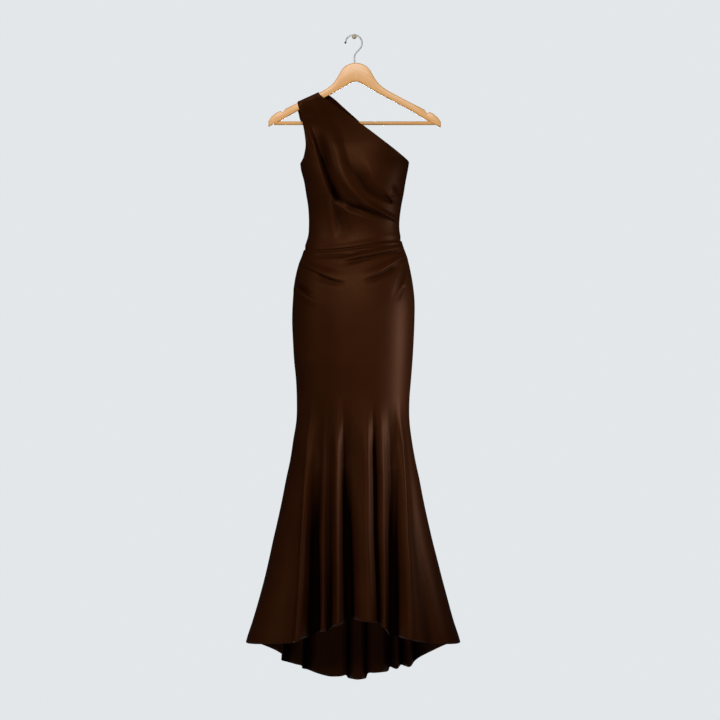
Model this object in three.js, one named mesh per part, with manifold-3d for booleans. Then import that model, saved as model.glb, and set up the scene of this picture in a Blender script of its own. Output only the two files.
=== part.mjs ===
// A one-shoulder satin evening gown, hanging filled out from a wooden hanger on a wall peg.
// Millimetres, Z up, X to the right and Y away from the viewer, so the gown's front faces -Y.
// The origin is the top of the inside of the hanger's hook, where it bears on the peg.
import * as THREE from "three";
import { mergeVertices } from "three/addons/utils/BufferGeometryUtils.js";
import Module from "manifold-3d";

const wasm = await Module();
wasm.setup();

// Cloth
const CLOTH = 1.6;
const SEAM = 0.3;
const LAP = 9;
const LAP_ROOM = 1.2;
const LAP_FADE = 34;
const LAP_CALM = 30;
const TAKEN_IN = 0.028;
const TAKEN_IN_OVER = 16;
const ROUNDNESS = 2.3;

// Heights of the gown's main lines
const UNDERARM = -330;
const SKIRT_TOP_LEFT = -553;
const SKIRT_TOP_RISE = 23;
const SKIRT_TOP_START = -0.7;
const WAIST_SLANT_START = -470;
const SIDE_HEM = -1560;
const HEM_SHAPE_START = -1000;
const FLUTE_START = -915;

// Closed rings of the gown from the underarm to the hem: the outline's left and right edges,
// the depth of the front and of the back, and how much higher the ring is at its right edge.
const RINGS = [
  { z: -330, left: -139, right: 140.7, front: 92, back: 76, rise: 4.6 },
  { z: -346, left: -137, right: 138, front: 95, back: 77, rise: 2 },
  { z: -377, left: -129, right: 132, front: 95, back: 73, rise: 0 },
  { z: -408, left: -124, right: 127, front: 92, back: 68, rise: 0 },
  { z: -439, left: -119, right: 121, front: 86, back: 64, rise: 0 },
  { z: -469, left: -117, right: 117, front: 80, back: 61, rise: 0 },
  { z: -493, left: -117, right: 116, front: 77, back: 60, rise: 0 },
  { z: -516, left: -119, right: 119, front: 77, back: 62, rise: 0 },
  { z: -547, left: -129, right: 129, front: 82, back: 70, rise: 0 },
  { z: -577, left: -140, right: 138, front: 92, back: 82, rise: 0 },
  { z: -629, left: -153, right: 149, front: 107, back: 100, rise: 0 },
  { z: -680, left: -158, right: 155, front: 113, back: 109, rise: 0 },
  { z: -732, left: -160, right: 155, front: 114, back: 110, rise: 0 },
  { z: -783, left: -158, right: 153, front: 112, back: 105, rise: 0 },
  { z: -835, left: -155, right: 150, front: 108, back: 99, rise: 0 },
  { z: -886, left: -150, right: 146, front: 103, back: 93, rise: 0 },
  { z: -938, left: -148, right: 142, front: 99, back: 89, rise: 0 },
  { z: -989, left: -149, right: 142, front: 97, back: 87, rise: 0 },
  { z: -1040, left: -157, right: 148, front: 98, back: 89, rise: 0 },
  { z: -1092, left: -165, right: 157, front: 101, back: 93, rise: 0 },
  { z: -1143, left: -176, right: 168, front: 104, back: 98, rise: 0 },
  { z: -1195, left: -186, right: 178, front: 108, back: 104, rise: 0 },
  { z: -1246, left: -197, right: 189, front: 112, back: 110, rise: 0 },
  { z: -1298, left: -209, right: 201, front: 116, back: 117, rise: 0 },
  { z: -1349, left: -220, right: 214, front: 120, back: 123, rise: 0 },
  { z: -1400, left: -232, right: 227, front: 124, back: 129, rise: 0 },
  { z: -1452, left: -246, right: 241, front: 128, back: 135, rise: 0 },
  { z: -1503, left: -261, right: 255, front: 132, back: 140, rise: 0 },
  { z: -1560, left: -279, right: 273, front: 136, back: 146, rise: 0 },
  { z: -1690, left: -305, right: 299, front: 140, back: 152, rise: 0 },
];

// Sections of the bodice above the underarm, down from the shoulder seam. armX and armZ are the
// armhole's edge, neckX and neckZ the front neckline's, backX and backZ the back neckline's. The form
// that carries them runs from formLeft to formRight, and round is 0 where the strap lies flat.
const STRAP = [
  { armX: -146.2, armZ: -170.3, neckX: -91.8, neckZ: -145.6, backX: -91.8, backZ: -145.6,
    formLeft: -190, formRight: 150, front: SEAM / 2, back: SEAM / 2, round: 0 },
  { armX: -146.2, armZ: -170.8, neckX: -91.6, neckZ: -146.1, backX: -91.4, backZ: -146,
    formLeft: -190, formRight: 150, front: 5.4, back: 5.4, round: 0 },
  { armX: -146, armZ: -173.6, neckX: -90.6, neckZ: -149.2, backX: -88, backZ: -148.2,
    formLeft: -190, formRight: 150, front: 8.7, back: 8.7, round: 0 },
  { armX: -143.6, armZ: -184, neckX: -84, neckZ: -156.4, backX: -70, backZ: -150.6,
    formLeft: -188, formRight: 150, front: 9.6, back: 9.6, round: 0 },
  { armX: -138.6, armZ: -200, neckX: -68, neckZ: -168, backX: -52, backZ: -161,
    formLeft: -184, formRight: 150, front: 19, back: 18, round: 0.08 },
  { armX: -134.8, armZ: -218, neckX: -42, neckZ: -188, backX: -28, backZ: -181.4,
    formLeft: -178, formRight: 150, front: 35, back: 32, round: 0.22 },
  { armX: -129.8, armZ: -240, neckX: -8, neckZ: -213, backX: 4, backZ: -208.7,
    formLeft: -168, formRight: 150, front: 54, back: 48, round: 0.45 },
  { armX: -126, armZ: -264, neckX: 33, neckZ: -243.6, backX: 42, backZ: -241,
    formLeft: -157, formRight: 148, front: 70, back: 61, round: 0.72 },
  { armX: -124.2, armZ: -286, neckX: 74, neckZ: -275, backX: 80, backZ: -273.4,
    formLeft: -145, formRight: 144, front: 82, back: 69, round: 0.92 },
  { armX: -127, armZ: -304, neckX: 106, neckZ: -299, backX: 109, backZ: -298.2,
    formLeft: -140, formRight: 141, front: 88, back: 73, round: 1 },
  { armX: -131, armZ: -318, neckX: 127, neckZ: -315, backX: 128.6, backZ: -314.7,
    formLeft: -137.5, formRight: 140.5, front: 91, back: 75, round: 1 },
  { armX: -138.6, armZ: -329.6, neckX: 140.4, neckZ: -325.1, backX: 140.4, backZ: -325.1,
    formLeft: -138.8, formRight: 140.6, front: 92, back: 76, round: 1 },
].map((row, index) => ({ ...row, index }));

// Folds in the front, along a line seen from the front, from its first point to its last. height is
// how far the cloth stands out, or sinks in where it is negative. above and below are its reach to
// either side, at the start and at the end. rise and fall are the parts of the line over which it
// grows and dies away.
const BODICE_FOLDS = [
  { name: "long pleat", line: [[-101, -192], [-65, -266], [-39, -351], [-6, -408], [40, -444], [114, -483]],
    height: 10, above: [30, 16], below: [20, 8], rise: 0.15, fall: 0.02 },
  { name: "hollow under it", line: [[-112, -215], [-84, -310], [-50, -398], [-4, -434], [48, -462]],
    height: -7, above: [12, 10], below: [14, 16], rise: 0.25, fall: 0.25 },
  { name: "side panel edge", line: [[-121, -262], [-95, -341], [-72, -418], [-54, -477], [-52, -535]],
    height: 6, above: [11, 11], below: [34, 44], rise: 0.15, fall: 0.3 },
  { name: "hollow to the waist", line: [[-50, -420], [-42, -480], [-36, -535]],
    height: -5, above: [16, 20], below: [12, 14], rise: 0.2, fall: 0.2 },
  { name: "short strap pleat", line: [[-129, -199], [-111, -246], [-93, -290]],
    height: 4, above: [10, 9], below: [9, 8], rise: 0.3, fall: 0.3 },
  { name: "upper hollow", line: [[-10, -310], [18, -374], [61, -405], [108, -428]],
    height: -6, above: [26, 12], below: [22, 12], rise: 0.3, fall: 0.05 },
  { name: "middle pleat", line: [[60, -378], [97, -403], [122, -437]],
    height: 5, above: [11, 8], below: [12, 8], rise: 0.35, fall: 0.02 },
  { name: "upper pleat pit", line: [[84, -366], [104, -392], [126, -414]],
    height: -6, above: [9, 8], below: [9, 7], rise: 0.4, fall: 0.05 },
];
const HIP_TUCKS = [
  { name: "rolled top", line: [[-134, -560], [-60, -558], [0, -551], [60, -541], [133, -537]],
    height: 3, above: [9, 10], below: [13, 12], rise: 0.05, fall: 0.02 },
  { name: "second tuck", line: [[-60, -588], [0, -579], [60, -565], [134, -545]],
    height: 4.5, above: [24, 14], below: [6, 5], rise: 0.3, fall: 0.02 },
  { name: "swag from the left", line: [[-146, -589], [-113, -602], [-70, -616], [0, -634]],
    height: 5, above: [22, 30], below: [7, 12], rise: 0.08, fall: 0.45 },
  { name: "swag to the right", line: [[-20, -636], [40, -628], [87, -597], [139, -566]],
    height: 6, above: [34, 14], below: [9, 6], rise: 0.35, fall: 0.02 },
  { name: "low left tuck", line: [[-157, -646], [-119, -668], [-70, -697]],
    height: 5, above: [8, 10], below: [24, 30], rise: 0.05, fall: 0.6 },
  { name: "streak below the knot", line: [[136, -588], [118, -639], [96, -692]],
    height: -3, above: [10, 14], below: [10, 14], rise: 0.15, fall: 0.5 },
];

// Lines down the skirt that its flutes follow, from seam to seam. knee, shin and hem are each line's X
// at those heights, push is how far it stands out at the hem, and drop is how far the hem there
// hangs below the hem at the sides. One line of the back is its centre seam.
const KNEE = -1040;
const SHIN = -1298;
const FRONT_FLUTES = [
  { knee: -157, shin: -209, hem: -279, push: 0, drop: 0, steps: 3 },
  { knee: -143, shin: -170, hem: -214, push: 5, drop: -6, steps: 3 },
  { knee: -124, shin: -128, hem: -145, push: 20, drop: -13, steps: 2 },
  { knee: -106, shin: -105, hem: -107, push: -22, drop: -31, steps: 2 },
  { knee: -88, shin: -81, hem: -84, push: -4, drop: -40, steps: 1 },
  { knee: -70, shin: -66, hem: -68, push: -13, drop: -45, steps: 2 },
  { knee: -45, shin: -45, hem: -45, push: 21, drop: -56, steps: 2 },
  { knee: -26, shin: -19, hem: -18, push: -24, drop: -61, steps: 3 },
  { knee: 30, shin: 35, hem: 30, push: 14, drop: -64, steps: 3 },
  { knee: 51, shin: 58, hem: 66, push: -6, drop: -62, steps: 1 },
  { knee: 71, shin: 76, hem: 84, push: 6, drop: -47, steps: 1 },
  { knee: 96, shin: 99, hem: 103, push: -20, drop: -27, steps: 2 },
  { knee: 120, shin: 130, hem: 138, push: 15, drop: -19, steps: 3 },
  { knee: 135, shin: 165, hem: 195, push: -6, drop: -7, steps: 3 },
  { knee: 148, shin: 201, hem: 273, push: 0, drop: 0, steps: 1 },
];
const CENTRE_BACK_LINE = 7;
const BACK_FLUTES = [
  { knee: -157, shin: -209, hem: -279, push: 0, drop: 0, steps: 2 },
  { knee: -138, shin: -170, hem: -225, push: 8, drop: 22, steps: 2 },
  { knee: -124, shin: -145, hem: -186, push: -10, drop: 50, steps: 2 },
  { knee: -106, shin: -122, hem: -158, push: 14, drop: 70, steps: 2 },
  { knee: -90, shin: -102, hem: -130, push: -13, drop: 84, steps: 2 },
  { knee: -64, shin: -66, hem: -84, push: 14, drop: 102, steps: 2 },
  { knee: -20, shin: -20, hem: -22, push: -15, drop: 112, steps: 2 },
  { knee: 4, shin: 6, hem: 7, push: 13, drop: 116, steps: 2 },
  { knee: 26, shin: 28, hem: 31, push: -14, drop: 112, steps: 2 },
  { knee: 46, shin: 50, hem: 57, push: 14, drop: 100, steps: 2 },
  { knee: 68, shin: 74, hem: 83, push: -13, drop: 93, steps: 2 },
  { knee: 90, shin: 98, hem: 112, push: 12, drop: 85, steps: 2 },
  { knee: 106, shin: 122, hem: 143, push: -12, drop: 74, steps: 2 },
  { knee: 130, shin: 160, hem: 205, push: 10, drop: 36, steps: 2 },
  { knee: 148, shin: 201, hem: 273, push: 0, drop: 0, steps: 1 },
];

// Hanger
const ARM_THICKNESS = 12.4;
const ARM_EDGE = 1.6;
const JOINT_X = 3.9;
const CROWN_TOP = -70.7;
const CROWN_UNDERSIDE = -118;
const CROWN_REACH = 60;
const ARM_LIFT_START = 90;
const ARM_LIFT_END = 150;
const RIGHT_ARM = { stretch: 1, lift: 0 };
const LEFT_ARM = { stretch: 1.0375, lift: 2.4 };
const BAR_Z = -225.6;
const BAR_RADIUS = 4.7;
const BAR_HALF_LENGTH = 206;
const WIRE_RADIUS = 1.75;
const HOOK_RADIUS = 19.6;
const HOOK_CENTRE_X = -1.3;
const STEM_X = 0.5;
const STEM_DEPTH = 18;
const TIP_RADIUS = 2.5;
const DRILL_CLEARANCE = 0.3;

// Wall peg: level under the hook, then rising to the wall like a shop's sloping arm
const PEG_RADIUS = 3.6;
const PEG_HEAD_RADIUS = 6;
const PEG_FRONT = -8;
const PEG_HEAD_LENGTH = 3;
const PEG_LEVEL_END = 8;
const PEG_SLOPE = 0.125;
const PEG_BACK = 175;

const clamp = THREE.MathUtils.clamp;
const lerp = THREE.MathUtils.lerp;
const smooth = THREE.MathUtils.smoothstep;

// The value of one column of a table at a place between its rows, along a smooth curve.
function column(table, key, name, at) {
  const forward = table[1][key] > table[0][key] ? 1 : -1;
  let i = 0;
  while (i < table.length - 2 && (table[i + 1][key] - at) * forward < 0) i += 1;
  const slope = (j) => {
    const a = table[Math.max(j - 1, 0)];
    const b = table[Math.min(j + 1, table.length - 1)];
    return (b[name] - a[name]) / (b[key] - a[key]);
  };
  const p = table[i];
  const q = table[i + 1];
  const span = q[key] - p[key];
  const t = clamp((at - p[key]) / span, 0, 1);
  const bend = slope(i) * span;
  const end = slope(i + 1) * span;
  const step = q[name] - p[name];
  return p[name] + t * bend + t * t * (3 * step - 2 * bend - end) + t * t * t * (bend + end - 2 * step);
}

// How far a fold table moves the cloth outwards at a point of the front view.
function relief(folds, x, z) {
  let total = 0;
  for (const fold of folds) {
    let nearest = Infinity;
    let side = 1;
    let along = 0;
    const last = fold.line.length - 1;
    for (let i = 0; i < last; i += 1) {
      const [ax, az] = fold.line[i];
      const [bx, bz] = fold.line[i + 1];
      const dx = bx - ax;
      const dz = bz - az;
      const t = clamp(((x - ax) * dx + (z - az) * dz) / (dx * dx + dz * dz), 0, 1);
      const distance = Math.hypot(x - ax - t * dx, z - az - t * dz);
      if (distance < nearest) {
        nearest = distance;
        side = Math.sign(dx * (z - az) - dz * (x - ax)) || 1;
        along = (i + t) / last;
      }
    }
    const reach = side > 0 ? lerp(...fold.above, along) : lerp(...fold.below, along);
    if (nearest >= reach) continue;
    const grown = smooth(along, -0.001, fold.rise) * smooth(1 - along, -0.001, fold.fall);
    total += fold.height * grown * (1 - (nearest / reach) ** 2) ** 2;
  }
  return total;
}

const raised = (value, power) => Math.sign(value) * Math.abs(value) ** power;
const across = (angle) => -raised(Math.cos(angle), 2 / ROUNDNESS);
const outwards = (angle) => raised(Math.sin(angle), 2 / ROUNDNESS);
const angleAt = (part) => Math.acos(clamp(-raised(part, ROUNDNESS / 2), -1, 1));

// The middle and half width of the closed ring at a height.
function ring(z) {
  const left = column(RINGS, "z", "left", z);
  const right = column(RINGS, "z", "right", z);
  return { middle: (left + right) / 2, half: (right - left) / 2 };
}

// A point on the form, part being -1 at the left seam and 1 at the right, side -1 in front and 1 behind.
function formPoint(side, part, z) {
  const { middle, half } = ring(z);
  const depth = column(RINGS, "z", side < 0 ? "front" : "back", z);
  const y = Math.max(depth * outwards(angleAt(part)), SEAM / 2);
  return new THREE.Vector3(middle + half * part, side * y, z);
}

const skirtTop = (part) => SKIRT_TOP_LEFT + SKIRT_TOP_RISE * smooth(part, SKIRT_TOP_START, 1);

// Where the bodice is at a section and across it, turn being 0 at its left edge and 1 at its right.
function bodicePoint(side, section, turn) {
  if (section >= 0) {
    const angle = Math.PI * turn;
    const station = UNDERARM - section;
    const part = across(angle);
    const slant = smooth(-station, -WAIST_SLANT_START, -SKIRT_TOP_LEFT);
    const rise = column(RINGS, "z", "rise", station) * (part + 1) / 2;
    const point = formPoint(side, part, station + rise + slant * (skirtTop(part) - SKIRT_TOP_LEFT));
    const { middle } = ring(point.z);
    const narrowed = 1 - TAKEN_IN * (1 - smooth(point.z - skirtTop(part), 0, TAKEN_IN_OVER));
    point.x = lerp(middle, point.x, narrowed);
    point.y = side * Math.max(Math.abs(point.y) * narrowed, SEAM / 2);
    return point;
  }
  const value = (name) => column(STRAP, "index", name, STRAP.length + section);
  const left = value("formLeft");
  const right = value("formRight");
  const middle = (left + right) / 2;
  const half = (right - left) / 2;
  const endX = value(side < 0 ? "neckX" : "backX");
  const endZ = value(side < 0 ? "neckZ" : "backZ");
  const armX = value("armX");
  const armZ = value("armZ");
  const start = angleAt((armX - middle) / half);
  const end = angleAt((endX - middle) / half);
  const angle = lerp(start, end, turn);
  const x = middle + half * across(angle);
  const depth = value(side < 0 ? "front" : "back");
  const y = depth * lerp(1, outwards(angle), value("round"));
  const z = lerp(armZ, endZ, (x - armX) / (endX - armX));
  return new THREE.Vector3(x, side * Math.max(y, SEAM / 2), z);
}

// The part of the half width at which a flute line lies at a height.
function linePart(line, z) {
  const place = (height, x) => {
    const { middle, half } = ring(height);
    return clamp((x - middle) / half, -1, 1);
  };
  const knee = place(KNEE, line.knee);
  const shin = place(SHIN, line.shin);
  const hem = place(SIDE_HEM, line.hem);
  if (z > SHIN) return lerp(knee, shin, clamp((KNEE - z) / (KNEE - SHIN), 0, 1));
  return lerp(shin, hem, clamp((SHIN - z) / (SHIN - SIDE_HEM), 0, 1));
}

// A point of the skirt on the stretch after a flute line, without its tucks.
function skirtPoint(side, flutes, index, between, station) {
  const line = flutes[index];
  const next = flutes[Math.min(index + 1, flutes.length - 1)];
  const ease = (1 - Math.cos(Math.PI * between)) / 2;
  const part = lerp(linePart(line, station), linePart(next, station), between);
  const drop = lerp(line.drop, next.drop, ease) * smooth(-station, -HEM_SHAPE_START, -SIDE_HEM);
  const slant = 1 - smooth(-station, -SKIRT_TOP_LEFT, -SKIRT_TOP_LEFT + 90);
  const z = station - drop + slant * (skirtTop(part) - SKIRT_TOP_LEFT);
  const point = formPoint(side, part, z);
  const grown = clamp((FLUTE_START - station) / (FLUTE_START - SIDE_HEM), 0, 1);
  const lift = (1 - smooth(skirtTop(part) - z, LAP, LAP + LAP_FADE)) * (CLOTH + LAP_ROOM);
  const push = lerp(line.push, next.push, ease) * grown + lift;
  const { half } = ring(z);
  const depth = column(RINGS, "z", side < 0 ? "front" : "back", z);
  const normal = new THREE.Vector2(raised(part, ROUNDNESS - 1) / half, side * outwards(angleAt(part)) / depth);
  normal.normalize();
  point.x += normal.x * push;
  point.y = side * Math.max(side * (point.y + normal.y * push), SEAM / 2);
  return point;
}

// The outward direction at each point of a grid of rows. It is straight out sideways at a side seam,
// and upwards in the row that meets the other half of the strap at the shoulder seam.
function directions(rows, side, atSideSeam, hasShoulder) {
  return rows.map((row, r) => row.map((point, c) => {
    if (atSideSeam(r) && (c === 0 || c === row.length - 1)) return new THREE.Vector3(c === 0 ? -1 : 1, 0, 0);
    if (hasShoulder && r === 0) return new THREE.Vector3(0, 0, 1);
    const above = rows[Math.max(r - 1, 0)][c];
    const under = rows[Math.min(r + 1, rows.length - 1)][c];
    const along = new THREE.Vector3().subVectors(row[Math.min(c + 1, row.length - 1)], row[Math.max(c - 1, 0)]);
    const down = new THREE.Vector3().subVectors(under, above);
    return new THREE.Vector3().crossVectors(down, along).multiplyScalar(-side).normalize();
  }));
}

// A closed wall between an outer and an inner grid of points.
function wall(outer, inner, side) {
  const rows = outer.length;
  const columns = outer[0].length;
  const points = [...outer.flat(), ...inner.flat()].flatMap((p) => [p.x, p.y, p.z]);
  const faces = [];
  const layer = rows * columns;
  const quad = (a, b, c, d) => {
    if (side < 0) faces.push(a, b, c, a, c, d);
    else faces.push(a, c, b, a, d, c);
  };
  for (let r = 0; r < rows - 1; r += 1) {
    for (let c = 0; c < columns - 1; c += 1) {
      const a = r * columns + c;
      quad(a, a + columns, a + columns + 1, a + 1);
      quad(layer + a, layer + a + 1, layer + a + columns + 1, layer + a + columns);
    }
  }
  for (let r = 0; r < rows - 1; r += 1) {
    const a = r * columns;
    const b = a + columns - 1;
    quad(a, layer + a, layer + a + columns, a + columns);
    quad(b, b + columns, layer + b + columns, layer + b);
  }
  for (let c = 0; c < columns - 1; c += 1) {
    const b = (rows - 1) * columns + c;
    quad(c, c + 1, layer + c + 1, layer + c);
    quad(b, layer + b, layer + b + 1, b + 1);
  }
  const geometry = new THREE.BufferGeometry();
  geometry.setAttribute("position", new THREE.Float32BufferAttribute(points, 3));
  geometry.setIndex(faces);
  geometry.computeVertexNormals();
  return geometry;
}

// The outer and inner points of a panel of cloth, tucks standing on its outside alone.
function panel(surface, side, { atSideSeam, hasShoulder = false, tucks = [] }) {
  const out = directions(surface, side, atSideSeam, hasShoulder);
  const outer = surface.map((row, r) => row.map((p, c) => {
    const tuck = Math.max(relief(tucks, p.x, p.z), 0);
    return p.clone().addScaledVector(out[r][c], tuck);
  }));
  const inner = surface.map((row, r) => row.map((p, c) => p.clone().addScaledVector(out[r][c], -CLOTH)));
  return { outer, inner };
}

// The part of a panel from one column of its points to another, drawn back from each seam inside it.
function cutOut({ outer, inner }, side, from, to) {
  const last = outer[0].length - 1;
  const cut = (grid) => grid.map((row) => row.slice(from, to + 1).map((p, c) => {
    const shift = new THREE.Vector3();
    if (c === 0 && from > 0) shift.x = SEAM / 2;
    if (c === to - from && to < last) shift.x = -SEAM / 2;
    return p.clone().add(shift);
  }));
  return wall(cut(outer), cut(inner), side);
}

// The bodice's sections, closely spaced at the shoulder seam, by their distance from the underarm:
// negative ones count rows of the strap, positive ones are millimetres below it.
function bodiceSections(step) {
  const strap = STRAP.slice(0, -1).map((row, index) => index - STRAP.length);
  const bottom = UNDERARM - SKIRT_TOP_LEFT + LAP;
  const count = Math.round(bottom / step);
  const body = Array.from({ length: count + 1 }, (unused, i) => (bottom * i) / count);
  return [...strap, ...body];
}

function bodice(side, columns, step, folds) {
  const sections = bodiceSections(step);
  const surface = sections.map((section) => {
    const row = [];
    for (let c = 0; c <= columns; c += 1) {
      const p = bodicePoint(side, section, c / columns);
      const out = new THREE.Vector3(0, side, 0);
      const calm = clamp(Math.abs(p.y) / 20, 0, 1) * smooth(p.z - SKIRT_TOP_LEFT, LAP, LAP + LAP_CALM);
      row.push(p.addScaledVector(out, relief(folds, p.x, p.z) * calm));
    }
    return row;
  });
  const { outer, inner } = panel(surface, side, { atSideSeam: (r) => sections[r] >= 0, hasShoulder: true });
  return wall(outer, inner, side);
}

// Heights of the skirt's rows, close together over the tucks.
function skirtStations(tuckStep, plainStep, fluteStep) {
  const stations = [];
  let z = SKIRT_TOP_LEFT;
  while (z > SIDE_HEM + fluteStep / 2) {
    stations.push(z);
    z -= z > -700 ? tuckStep : z > FLUTE_START ? plainStep : fluteStep;
  }
  stations.push(SIDE_HEM);
  return stations;
}

function skirt(side, flutes, stations, tucks) {
  const surface = stations.map((station) => {
    const row = [];
    flutes.slice(0, -1).forEach((line, index) => {
      for (let k = 0; k < line.steps; k += 1) {
        row.push(skirtPoint(side, flutes, index, k / line.steps, station));
      }
    });
    row.push(skirtPoint(side, flutes, flutes.length - 1, 0, station));
    return row;
  });
  return panel(surface, side, { atSideSeam: () => true, tucks });
}

// Turns a three.js geometry into a solid that can be cut, and back.
function solidOf(geometry) {
  const bare = geometry.clone();
  bare.deleteAttribute("normal");
  bare.deleteAttribute("uv");
  const merged = mergeVertices(bare, 1e-3);
  const vertProperties = merged.attributes.position.array;
  const triVerts = new Uint32Array(merged.index.array);
  return new wasm.Manifold(new wasm.Mesh({ numProp: 3, vertProperties, triVerts }));
}

function geometryOf(solid) {
  const mesh = solid.getMesh();
  const geometry = new THREE.BufferGeometry();
  geometry.setAttribute("position", new THREE.Float32BufferAttribute(mesh.vertProperties, 3));
  geometry.setIndex(Array.from(mesh.triVerts));
  geometry.computeVertexNormals();
  return geometry;
}

// One arm of the hanger seen from the front, outwards from the joint. Past the crown it is stretched,
// and lifted towards its end.
function armOutline({ stretch, lift }) {
  const at = (x, z) => {
    const past = Math.max(x - CROWN_REACH, 0);
    return new THREE.Vector2(x + past * (stretch - 1), z + lift * smooth(x, ARM_LIFT_START, ARM_LIFT_END));
  };
  const outline = new THREE.Shape();
  outline.moveTo(SEAM / 2, CROWN_UNDERSIDE);
  outline.lineTo(SEAM / 2, CROWN_TOP);
  outline.splineThru([at(18, -74.4), at(33.4, -85), at(50, -112.4), at(63.2, -128.4), at(99.8, -151.5)]);
  const straight = [at(136, -170.5), at(177, -191.3), at(183, -200.3), at(189, -196.8)];
  straight.forEach((p) => outline.lineTo(p.x, p.y));
  outline.splineThru([at(200.3, -202.2), at(211.6, -212), at(218.6, -222.6), at(218.6, -237)]);
  const underside = [at(189, -221.7), at(151.4, -198.3), at(69.9, -154.8), at(41.4, -138.9)];
  underside.forEach((p) => outline.lineTo(p.x, p.y));
  outline.quadraticCurveTo(16, -122.5, SEAM / 2, CROWN_UNDERSIDE);
  return outline;
}

function arm(outline) {
  const geometry = new THREE.ExtrudeGeometry(outline, {
    depth: ARM_THICKNESS - 2 * ARM_EDGE,
    bevelThickness: ARM_EDGE,
    bevelSize: ARM_EDGE,
    bevelOffset: -ARM_EDGE,
    bevelSegments: 1,
    curveSegments: 3,
  });
  geometry.rotateX(Math.PI / 2);
  geometry.translate(0, (ARM_THICKNESS - 2 * ARM_EDGE) / 2, 0);
  return geometry;
}

function rodAlongX(radius, from, to, sides) {
  const geometry = new THREE.CylinderGeometry(radius, radius, to - from, sides);
  geometry.rotateZ(Math.PI / 2);
  geometry.translate((from + to) / 2, 0, BAR_Z);
  return geometry;
}

// The hook's wire from inside the crown, up the stem and round to its tip.
function hookCurve() {
  const bendAngle = THREE.MathUtils.degToRad(-44);
  const tipAngle = THREE.MathUtils.degToRad(170);
  const radius = HOOK_RADIUS + WIRE_RADIUS;
  const round = (angle) => new THREE.Vector3(
    HOOK_CENTRE_X + radius * Math.cos(angle), 0, -HOOK_RADIUS + radius * Math.sin(angle));
  const start = round(bendAngle);
  const bottom = CROWN_TOP - STEM_DEPTH;
  const knots = [[STEM_X, bottom], [STEM_X, bottom + 12], [STEM_X, -60], [STEM_X, -53.5], [4.2, -45.2]];
  const points = knots.map(([x, z]) => new THREE.Vector3(x, 0, z));
  points.push(start);
  for (let i = 1; i <= 10; i += 1) points.push(round(lerp(bendAngle, tipAngle, i / 10)));
  return { curve: new THREE.CatmullRomCurve3(points, false, "centripetal"), tip: round(tipAngle), tipAngle };
}

const satin = () => new THREE.MeshStandardMaterial({ color: 0x2c1810, roughness: 0.42, metalness: 0 });
const wood = () => new THREE.MeshStandardMaterial({ color: 0xdca868, roughness: 0.5, metalness: 0 });
const steel = () => new THREE.MeshStandardMaterial({ color: 0xb4b6b8, roughness: 0.25, metalness: 1 });
const brass = () => new THREE.MeshStandardMaterial({ color: 0xa89c7c, roughness: 0.35, metalness: 1 });
const rubber = () => new THREE.MeshStandardMaterial({ color: 0x24211f, roughness: 0.6, metalness: 0 });

const group = new THREE.Group();

function piece(name, geometry, material, parent = group) {
  const mesh = new THREE.Mesh(geometry, material);
  mesh.name = name;
  parent.add(mesh);
  return mesh;
}

piece("bodice_front", bodice(-1, 22, 13, BODICE_FOLDS), satin());
piece("bodice_back", bodice(1, 14, 20, []), satin());
const skirtFront = skirt(-1, FRONT_FLUTES, skirtStations(11, 46, 42), HIP_TUCKS);
piece("skirt_front", wall(skirtFront.outer, skirtFront.inner, -1), satin());

const skirtBack = skirt(1, BACK_FLUTES, skirtStations(30, 50, 48), []);
const backColumn = (line) => BACK_FLUTES.slice(0, line).reduce((sum, { steps }) => sum + steps, 0);
const centreBack = backColumn(CENTRE_BACK_LINE);
const backEnd = backColumn(BACK_FLUTES.length - 1);
piece("skirt_back_left", cutOut(skirtBack, 1, 0, centreBack), satin());
piece("skirt_back_right", cutOut(skirtBack, 1, centreBack, backEnd), satin());

const hook = hookCurve();
const wireSection = new THREE.Shape();
wireSection.absarc(0, 0, WIRE_RADIUS, 0, Math.PI * 2);
const hookGeometry = new THREE.ExtrudeGeometry(wireSection, {
  steps: 34,
  curveSegments: 5,
  extrudePath: hook.curve,
  bevelEnabled: false,
});

const bar = rodAlongX(BAR_RADIUS, -BAR_HALF_LENGTH, BAR_HALF_LENGTH, 16);
const socket = solidOf(rodAlongX(BAR_RADIUS + DRILL_CLEARANCE, -BAR_HALF_LENGTH - SEAM, BAR_HALF_LENGTH + SEAM, 16));
const drill = new THREE.CylinderGeometry(WIRE_RADIUS + DRILL_CLEARANCE, WIRE_RADIUS + DRILL_CLEARANCE, 40, 12);
drill.rotateX(Math.PI / 2);
drill.translate(STEM_X, 0, CROWN_TOP - STEM_DEPTH - SEAM + 20);

const rightArm = arm(armOutline(RIGHT_ARM));
const leftArm = arm(armOutline(LEFT_ARM));
leftArm.rotateZ(Math.PI);
leftArm.translate(JOINT_X, 0, 0);
rightArm.translate(JOINT_X, 0, 0);
const leftSolid = solidOf(leftArm).subtract(solidOf(drill)).subtract(socket);
piece("hanger_arm_left", geometryOf(leftSolid), wood());
piece("hanger_arm_right", geometryOf(solidOf(rightArm).subtract(socket)), wood());
piece("hanger_bar", bar, wood());
piece("hanger_hook", hookGeometry, steel());

const tipOut = new THREE.Vector3(-Math.sin(hook.tipAngle), 0, Math.cos(hook.tipAngle));
const tip = piece("hook_tip", new THREE.SphereGeometry(TIP_RADIUS, 12, 8), rubber());
tip.position.copy(hook.tip).addScaledVector(tipOut, TIP_RADIUS + SEAM);

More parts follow.
